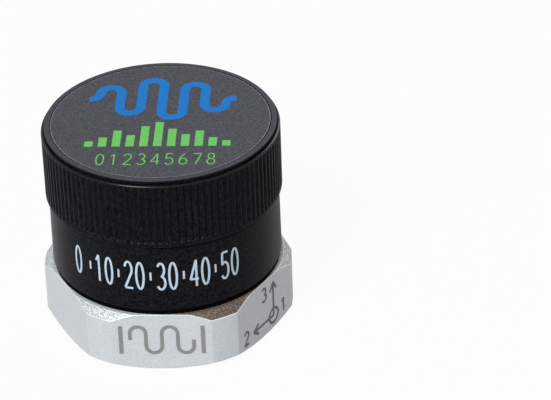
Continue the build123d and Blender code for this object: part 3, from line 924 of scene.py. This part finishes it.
# %% Paths for strokes
def divided(path, spacing=0.25):
    """The same path with points at most this far apart."""
    path = np.asarray(path, float)
    pieces = []
    for start, stop in zip(path[:-1], path[1:]):
        count = max(1, math.ceil(np.linalg.norm(stop - start) / spacing))
        pieces.append(start + (stop - start) * np.arange(count)[:, None] / count)
    return np.concatenate((*pieces, path[-1:]))


def bend(middle, reach, start, stop, count=18):
    """An elliptic arc about a middle, from one angle to another in degrees."""
    turn = np.radians(np.linspace(start, stop, count))
    u, v = middle[0] + reach[0] * np.cos(turn), middle[1] + reach[1] * np.sin(turn)
    return np.stack((u, v), axis=1)


def rounded_wave(first, middle, radius, reaches):
    """A wave of upright runs a diameter apart, joined by half circles.

    Half circle i has its middle at (first + radius * (2 i + 1), middle + reach or - reach
    by turns).
    """
    bends = []
    for i, reach in enumerate(reaches):
        up = 1 if i % 2 == 0 else -1
        place = (first + radius * (2 * i + 1), middle + up * reach)
        bends.append(bend(place, (radius, up * radius), 180, 0, 15))
    return np.concatenate(bends)


print("a line 1 mm long is divided at", divided([(0, 0), (1, 0)])[:, 0].tolist())

# %% Plain stroked digits, each in a cell 1 wide and 1.6 high
digit_strokes = {
    "0": [bend((0.5, 0.8), (0.42, 0.8), 0, 360, 34)],
    "1": [divided([(0.16, 1.24), (0.52, 1.6)]), divided([(0.52, 1.6), (0.52, 0.0)])],
    "2": [
        np.concatenate((bend((0.48, 1.17), (0.41, 0.43), 165, -38), [(0.04, 0.02)])),
        divided([(0.04, 0.0), (0.95, 0.0)]),
    ],
    "3": [bend((0.46, 1.2), (0.38, 0.4), 150, -90), bend((0.46, 0.4), (0.45, 0.4), 90, -150)],
    "4": [
        divided([(0.72, 0.0), (0.72, 1.6)]), divided([(0.72, 1.6), (0.02, 0.45)]),
        divided([(0.02, 0.45), (0.98, 0.45)]),
    ],
    "5": [
        divided([(0.88, 1.6), (0.18, 1.6)]), divided([(0.18, 1.6), (0.13, 0.86)]),
        bend((0.46, 0.5), (0.46, 0.5), 132, -145),
    ],
    "6": [bend((0.5, 0.45), (0.42, 0.45), 0, 360, 30), bend((1.02, 0.5), (0.94, 1.12), 108, 180, 14)],
    "7": [divided([(0.04, 1.6), (0.95, 1.6)]), divided([(0.95, 1.6), (0.36, 0.0)])],
    "8": [bend((0.5, 1.21), (0.35, 0.39), 0, 360, 28), bend((0.5, 0.41), (0.43, 0.41), 0, 360, 28)],
}
digit_spacing = 0.32


def number(text, left, foot, width, height, pen):
    """A plain number: its digits side by side from the left, each width by height."""
    strokes = []
    for i, digit in enumerate(text):
        corner = np.array((left + i * width * (1 + digit_spacing), foot))
        scaled = [corner + path * (width, height / 1.6) for path in digit_strokes[digit]]
        strokes += [stroke(path, pen) for path in scaled]
    return strokes


def number_width(text, width):
    """How wide a number is, without the gap after its last digit."""
    return width * (len(text) * (1 + digit_spacing) - digit_spacing)


print("ready digits", "".join(digit_strokes))

# %% Laying marks on a surface
crossing_step = 0.15


def laid(parts, lay):
    """Moves each part's (u, v, height) points onto a surface, and keeps faces outwards.

    Neighbouring strokes differ a little in height, so that no two faces lie in one place.
    """
    done = []
    for k, (points, quads, triangles) in enumerate(parts):
        placed = lay(points[:, 0], points[:, 1], points[:, 2] * (1 + crossing_step * (k % 3)))
        if faces_inwards(placed - placed.mean(axis=0), quads):
            quads = quads[:, ::-1]
        done.append((placed, quads, triangles))
    return done


def on_level(height):
    """Lays the sheet flat at a height."""
    return lambda u, v, h: np.stack((u, v, height + h), axis=1)


def round_tube(radius, middle_turn, middle_height):
    """Wraps the sheet round a tube: u runs along the wall, v up it."""
    def lay(u, v, h):
        turn = math.radians(middle_turn) + u / radius
        x, y = (radius + h) * np.cos(turn), (radius + h) * np.sin(turn)
        return np.stack((x, y, middle_height + v), axis=1)
    return lay


def on_flat(turn, reach):
    """Lays the sheet on a flat of the base whose normal points along turn."""
    normal = np.array((math.cos(math.radians(turn)), math.sin(math.radians(turn)), 0))
    along = np.array((-normal[1], normal[0], 0))
    up = np.array((0, 0, 1))
    return lambda u, v, h: u[:, None] * along + v[:, None] * up + (reach + h)[:, None] * normal


print("sheets: on_level, round_tube, on_flat")

# %% [markdown]
# ## Inks
#
# The printed colours are slightly uneven and matt. A plain colour would look pasted on, so
# each ink is a moulded finish with very near tones. The engraving on the metal is a darker,
# rougher grey, and burnt deeper on the flat with the axis mark.

# %% Ink finishes
ink_film = {"patch_mm": 0.3, "depth_mm": 0.003}
burnt = {"patch_mm": 0.16, "depth_mm": 0.006}

blue_ink = moulded(
    "blue_ink", (0.003, 0.132, 0.42), (0.006, 0.160, 0.49), 0.6, Specular_IOR_Level=0.15, **ink_film
)
green_ink = moulded(
    "green_ink", (0.105, 0.40, 0.082), (0.155, 0.48, 0.12), 0.6, Specular_IOR_Level=0.15, **ink_film
)
white_ink = moulded(
    "white_ink", (0.43, 0.53, 0.63), (0.55, 0.65, 0.75), 0.6, grain_mm=0.1, **ink_film
)
engraved_grey = moulded("engraved_grey", (0.19, 0.19, 0.183), (0.30, 0.30, 0.29), 0.75, **burnt)
deep_engraving = moulded("deep_engraving", (0.12, 0.12, 0.115), (0.21, 0.21, 0.20), 0.75, **burnt)
print("inks", blue_ink.name, green_ink.name, white_ink.name, "and 2 engravings")

# %% [markdown]
# ## The label
#
# A round printed film lies in the crown's recess. Its face is a dark speckled grey. Near its
# edge the pale film shows here and there as a thin broken line, and beyond it the cut rim is
# painted near black as painted shade, for the shade of the recess's gap. A row of tiny dots
# could be modelled, but the line is less than a picture point wide, so it is part of the
# material: a mask at the label's own radius, broken by a noise.

# %% The label's finish
label_radius, label_top = 16.6, 33.22
face_tones = (
    (0.34, (0.025, 0.027, 0.035)), (0.5, (0.043, 0.045, 0.055)), (0.66, (0.070, 0.073, 0.083))
)
# Painted shade: the film's cut rim is coloured near black, standing for the shade in the narrow gap
# of the recess.
pale_film, painted_gap_shade = (0.25, 0.26, 0.29), (0.004, 0.004, 0.005)


def label_finish():
    """A speckled dark face, and by its distance from the axis a pale line and painted shade at the
    rim.
    """
    material, tree, shader = shader_of("printed_film", Roughness=0.6, Specular_IOR_Level=0.25)
    face = ramp(tree, noise(tree, 0.3, detail=5.0), face_tones)
    radius = axis_distance(tree, split_place(tree))
    at_line = shares(tree, radius, (label_radius - 0.2) * MM, (label_radius - 0.16) * MM)
    at_painted_shade = shares(tree, radius, (label_radius - 0.05) * MM, (label_radius - 0.02) * MM)
    broken = shares(tree, noise(tree, 0.1, detail=0.0), 0.46, 0.58)
    lined = mixed(tree, worked_out(tree, "MULTIPLY", at_line, broken), face, pale_film)
    tree.links.new(mixed(tree, at_painted_shade, lined, painted_gap_shade), shader.inputs["Base Color"])
    bumped(tree, shader, noise(tree, 0.12, detail=2.0), 0.006)
    return material


printed_film = label_finish()
print(printed_film.name, len(printed_film.node_tree.nodes), "nodes")

# %% The label's disc
label_corners = [(0, label_top), (label_radius, label_top, 0.05)]
label_corners += [(label_radius, recess_floor, 0.03), (0, recess_floor)]
label_grid = round_the_axis(rounded(label_corners), even_angles(256))
label = make_piece(
    "label_film", "cap", [printed_film], [carried(label_grid, poles=(True, True))]
)
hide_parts("cap_label")

# %% [markdown]
# ## The label's print
#
# The label is printed in two flat inks: a rounded wave in blue, and a row of bars and a dial's
# numbers in green. A picture could carry them, but strokes keep a sharp edge however near the
# eye comes. One long stroke draws the wave. Its bends reach further from the middle line
# towards the label's centre, so that it looks like a signal that swells and fades, and a
# quarter circle leads into it at each end.

# %% The wave
bend_radius, wave_middle, wave_pen = 1.6, 6.4, 1.45
bend_reaches = (1.9, 2.7, 4.0, 4.0, 2.7, 1.9)
first_run = -bend_radius * len(bend_reaches)
quarter = (bend_radius, bend_radius)
lead_in = bend((first_run - bend_radius, wave_middle + bend_radius), quarter, -90, 0, 8)
lead_out = bend((-first_run + bend_radius, wave_middle - bend_radius), quarter, 180, 90, 8)
wave_runs = rounded_wave(first_run, wave_middle, bend_radius, bend_reaches)
wave = [stroke(np.concatenate((lead_in, wave_runs, lead_out)), wave_pen)]
print_level = on_level(label_top)
make_piece(
    "label_wave_print", "cap", [blue_ink], laid(wave, print_level), smooth=False
)

# %% The bars and the numbers
bar_heights = (1.5, 2.6, 4.6, 3.2, 5.8, 7.0, 5.0, 3.4, 4.4, 2.4, 1.5)
bar_step, bar_foot, bar_width = 2.05, -7.6, 1.25
digit_foot, digit_width, digit_height, digit_pen = -12.8, 1.3, 3.0, 0.2
bars, dial_numbers = [], []
for i, height in enumerate(bar_heights):
    u = bar_step * (i - 5)
    bars.append(stroke(divided([(u, bar_foot), (u, bar_foot + height)], 1.0), bar_width))
for i in range(9):
    left = bar_step * (i - 4) - digit_width / 2
    dial_numbers += number(str(i), left, digit_foot, digit_width, digit_height, digit_pen)
make_piece(
    "label_bar_print", "cap", [green_ink], laid(bars, print_level), smooth=False
)
make_piece(
    "label_number_print", "cap", [green_ink], laid(dial_numbers, print_level),
    smooth=False,
)

# %% [markdown]
# ## The housing's scale
#
# Round the front of the housing runs one line of tall, narrow white print. A flat sheet held
# against the tube would stand off at its ends, so the marks are wrapped round the wall, a
# little proud of it: each point's u becomes an angle, u divided by the radius.

# %% The housing's printed scale
scale_numbers = ("0", "10", "20", "30", "40", "50")
scale_pitch, scale_width, scale_height, scale_foot, scale_pen = 4.95, 1.32, 4.6, -2.3, 0.35
tick_half, tick_pen = 0.7, 0.3
scale_radius, scale_turn, scale_middle = 17.56, -93.7, 16.7
scale_marks = []
for i, text in enumerate(scale_numbers):
    left = scale_pitch * (i - 2.5) - number_width(text, scale_width) / 2
    scale_marks += number(text, left, scale_foot, scale_width, scale_height, scale_pen)
for i in range(5):
    u = scale_pitch * (i - 2)
    scale_marks.append(stroke(divided([(u, -tick_half), (u, tick_half)], 0.5), tick_pen))
make_piece(
    "housing_scale_print", "housing", [white_ink],
    laid(scale_marks, round_tube(scale_radius, scale_turn, scale_middle)), smooth=False,
)

# %% [markdown]
# ## The base's engraving
#
# A laser burns the marks into the flats as matt grey lines. Cutting them into the metal
# would break up its clean grid for a depth that nobody can see, so they lie on it as strokes
# two hundredths of a millimetre high. The front flat has a wave between two bars, and the
# flat to its right shows which way the sensor's three axes run, as arrows and numbers.

# %% The wave on the front flat
mark_middle, wave_end, wave_bend, engraving_pen = 5.3, 4.8, 1.2, 0.6
side_bar, side_bar_half, side_bar_pen = 6.2, 2.5, 0.66
runs = rounded_wave(-wave_end, 0.0, wave_bend, (1.15, 1.15, 1.15, 1.15))
wave_mark = np.concatenate(([(-wave_end, 0.0)], runs, [(wave_end, 0.0)]))
front_marks = [stroke(wave_mark, engraving_pen)]
for u in (-side_bar, side_bar):
    path = divided([(u, -side_bar_half), (u, side_bar_half)], 1.0)
    front_marks.append(stroke(path, side_bar_pen))
raised = [(points + (0, mark_middle, 0), quads, none) for points, quads, none in front_marks]
make_piece(
    "base_wave_engraving", "housing", [engraved_grey],
    laid(raised, on_flat(-90, flat_radius)), smooth=False,
)

# %% The axis mark on the right-hand flat
axis_middle, axis_circle, axis_pen = np.array((2.35, 2.35)), 1.25, 0.45
head_length, head_turn = 1.7, math.radians(32)
axis_digit = (1.35, 2.3, 0.42)


def arrow(start, tip):
    """A shaft and two short strokes that meet at its tip, each turned from the shaft."""
    start, tip = np.array(start, float), np.array(tip, float)
    back = (start - tip) / np.linalg.norm(start - tip)
    paths = [(start, tip)]
    for c, s in ((math.cos(head_turn), turn) for turn in (math.sin(head_turn), -math.sin(head_turn))):
        spun = np.array((back[0] * c - back[1] * s, back[0] * s + back[1] * c))
        paths.append((tip, tip + spun * head_length))
    return [stroke(divided(path, 0.5), axis_pen) for path in paths]


axis_marks = [stroke(axis_middle + bend((0, 0), (axis_circle, axis_circle), 0, 360, 40), axis_pen)]
axis_marks += arrow(axis_middle, (2.4, 8.4)) + arrow(axis_middle, (-3.4, 2.4))
for text, left, foot in (("3", -0.8, 6.3), ("1", 4.5, 1.6), ("2", -6.0, 1.4)):
    axis_marks += number(text, left, foot, *axis_digit)
make_piece(
    "base_axis_engraving", "housing", [deep_engraving],
    laid(axis_marks, on_flat(-30, flat_radius)), smooth=False,
)

# %% [markdown]
# ## Finishes for the pieces inside
#
# The boards, chips, contacts and the cell are seen only when the sensor is taken apart. They
# could be dressed anew like the outside, but their CAD shapes are true already, so they only
# get a finish. Each follows its trade: solder mask with faint traces, moulded packages,
# brushed plated steel, gold-plated springs.

# %% Board and brushed metal
trace_density, trace_wander = 260.0, 9.0


def board_finish():
    """Green solder mask over copper traces: thin lines where a wave's value is near its top."""
    material, tree, shader = shader_of("solder_mask", Roughness=0.34, Specular_IOR_Level=0.55)
    lanes = wired(
        tree, "ShaderNodeTexWave",
        {
            "Vector": object_place(tree), "Scale": trace_density,
            "Distortion": trace_wander, "Detail": 1.0,
        },
        wave_profile="SAW",
    )
    traces = shares(tree, lanes.outputs["Fac"], 0.78, 0.84)
    tones = ((0.3, (0.010, 0.085, 0.035)), (0.7, (0.018, 0.125, 0.05)))
    mask = ramp(tree, noise(tree, 0.9), tones)
    tree.links.new(mixed(tree, traces, mask, (0.035, 0.21, 0.075)), shader.inputs["Base Color"])
    bumped(tree, shader, traces, 0.02)
    return material


def brushed(name, dark, light, roughness):
    """Plated metal, brushed along Y: the noise is squeezed square to the strokes."""
    material, tree, shader = shader_of(name, Metallic=1.0)
    grain = noise(tree, 0.5, object_place(tree, (14, 1, 14)), detail=4.0)
    tree.links.new(ramp(tree, grain, ((0.3, dark), (0.7, light))), shader.inputs["Base Color"])
    spans = {"From Min": 0.3, "From Max": 0.7, "To Min": roughness, "To Max": roughness + 0.14}
    rough = wired(tree, "ShaderNodeMapRange", {"Value": grain, **spans})
    tree.links.new(rough.outputs[0], shader.inputs["Roughness"])
    bumped(tree, shader, grain, 0.004)
    return material


solder_mask = board_finish()
plated_steel = brushed("plated_steel", (0.52, 0.52, 0.54), (0.70, 0.70, 0.71), 0.22)
gold_plate = brushed("gold_plate", (0.70, 0.46, 0.13), (0.86, 0.62, 0.24), 0.2)
print(solder_mask.name, plated_steel.name, gold_plate.name)

# %% Moulded and fired finishes, and each CAD node that stays visible gets its own
finish_of_slot = {
    "bright_steel": plated_steel,
    "green_board": solder_mask,
    "gold_contact": gold_plate,
    "chip_black": moulded(
        "chip_mould", (0.010, 0.010, 0.011), (0.022, 0.022, 0.024), 0.55,
        patch_mm=0.4, depth_mm=0.006,
    ),
    "holder_plastic": moulded(
        "holder_nylon", (0.018, 0.018, 0.020), (0.034, 0.034, 0.036), 0.5,
        patch_mm=0.7, depth_mm=0.008,
    ),
    "ceramic_white": moulded(
        "fired_ceramic", (0.70, 0.69, 0.64), (0.80, 0.80, 0.76), 0.4,
        patch_mm=0.5, depth_mm=0.004,
    ),
    "capacitor_yellow": moulded(
        "capacitor_case", (0.62, 0.34, 0.03), (0.74, 0.44, 0.06), 0.42,
        patch_mm=0.8, depth_mm=0.005,
    ),
    "lamp_lens": moulded(
        "lamp_lens", (0.80, 0.84, 0.78), (0.88, 0.92, 0.86), 0.12,
        patch_mm=0.5, depth_mm=0.002, Transmission_Weight=0.6,
    ),
}
for row in frame["record"]["subparts"]:
    finish = finish_of_slot.get(row["material_slot"])
    if finish is None:
        continue
    node = frame["nodes"][row["node"]]
    if node.material_slots:
        for place in node.material_slots:
            place.material = finish
    else:
        node.data.materials.append(finish)

# %% [markdown]
# ## Two soft pads
#
# A foam disc under the cap's roof keeps the cell from rattling, and a small soft pad brings
# the base's warmth to the temperature chip. A cloth simulation could press them, but pads
# this thin hardly move, so their give is worked out: both are slightly crowned, with round
# edges that pull in where nothing presses on them.

# %% The foam disc
foam_grey = moulded(
    "foam_grey", (0.045, 0.045, 0.05), (0.11, 0.11, 0.12), 0.9,
    patch_mm=0.35, grain_mm=0.25, depth_mm=0.06,
)


foam_radius, foam_foot, foam_sag, foam_pull = 11.3, 28.6, 0.12, 0.22


def soft_disc(radius, low, high, sag, pull):
    """A profile whose foot rises by sag towards its rim and whose wall pulls in by pull."""
    rows = 12
    share = np.linspace(0, 1, rows)
    roof = np.stack((radius * share, np.full(rows, high)), axis=1)
    up = np.linspace(0, 1, rows - 1)[1:-1]
    wall = np.stack((radius - pull * np.sin(math.pi * up), high + (low - high) * up), axis=1)
    under = np.stack((radius * share[::-1], low + sag * (share[::-1] ** 2)), axis=1)
    return np.concatenate((roof, wall, under))


foam_profile = soft_disc(foam_radius, foam_foot, roof_underside, foam_sag, foam_pull)
cell_pad = make_piece(
    "foam_pad", "cap", [foam_grey],
    [carried(round_the_axis(foam_profile, even_angles(96)), poles=(True, True))],
)
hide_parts("cell_pad")

# %% The pad under the temperature chip
thermal_gel = moulded(
    "thermal_gel", (0.15, 0.19, 0.24), (0.2, 0.25, 0.31), 0.7,
    patch_mm=0.5, grain_mm=0.2, depth_mm=0.01,
)


squareness, end_draw = 5.0, 0.12


def soft_block(low, high):
    """A soft block: each level is the curve |x|^p + |y|^p = 1, drawn in near top and foot."""
    columns, rows, p = 40, 9, squareness
    middle, half = (low + high) / 2, (high - low) / 2
    turn = even_angles(columns)
    reach = (np.abs(np.cos(turn)) ** p + np.abs(np.sin(turn)) ** p) ** (-1 / p)
    rise = np.linspace(-1, 1, rows)
    draw = (1 - np.abs(rise) ** 6 * end_draw)[:, None] * reach
    x, y = middle[0] + half[0] * draw * np.cos(turn), middle[1] + half[1] * draw * np.sin(turn)
    z = middle[2] + half[2] * np.broadcast_to(rise[:, None], x.shape)
    foot, top = (np.broadcast_to((*middle[:2], end), (1, columns, 3)) for end in (low[2], high[2]))
    return carried(np.concatenate((foot, np.stack((x, y, z), axis=-1), top)), poles=(True, True))


gel_low, gel_high = (np.array(corner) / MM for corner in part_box("thermal_pad"))
thermal_pad = make_piece(
    "gel_pad", "housing", [thermal_gel], [soft_block(gel_low, gel_high)]
)
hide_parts("thermal_pad")
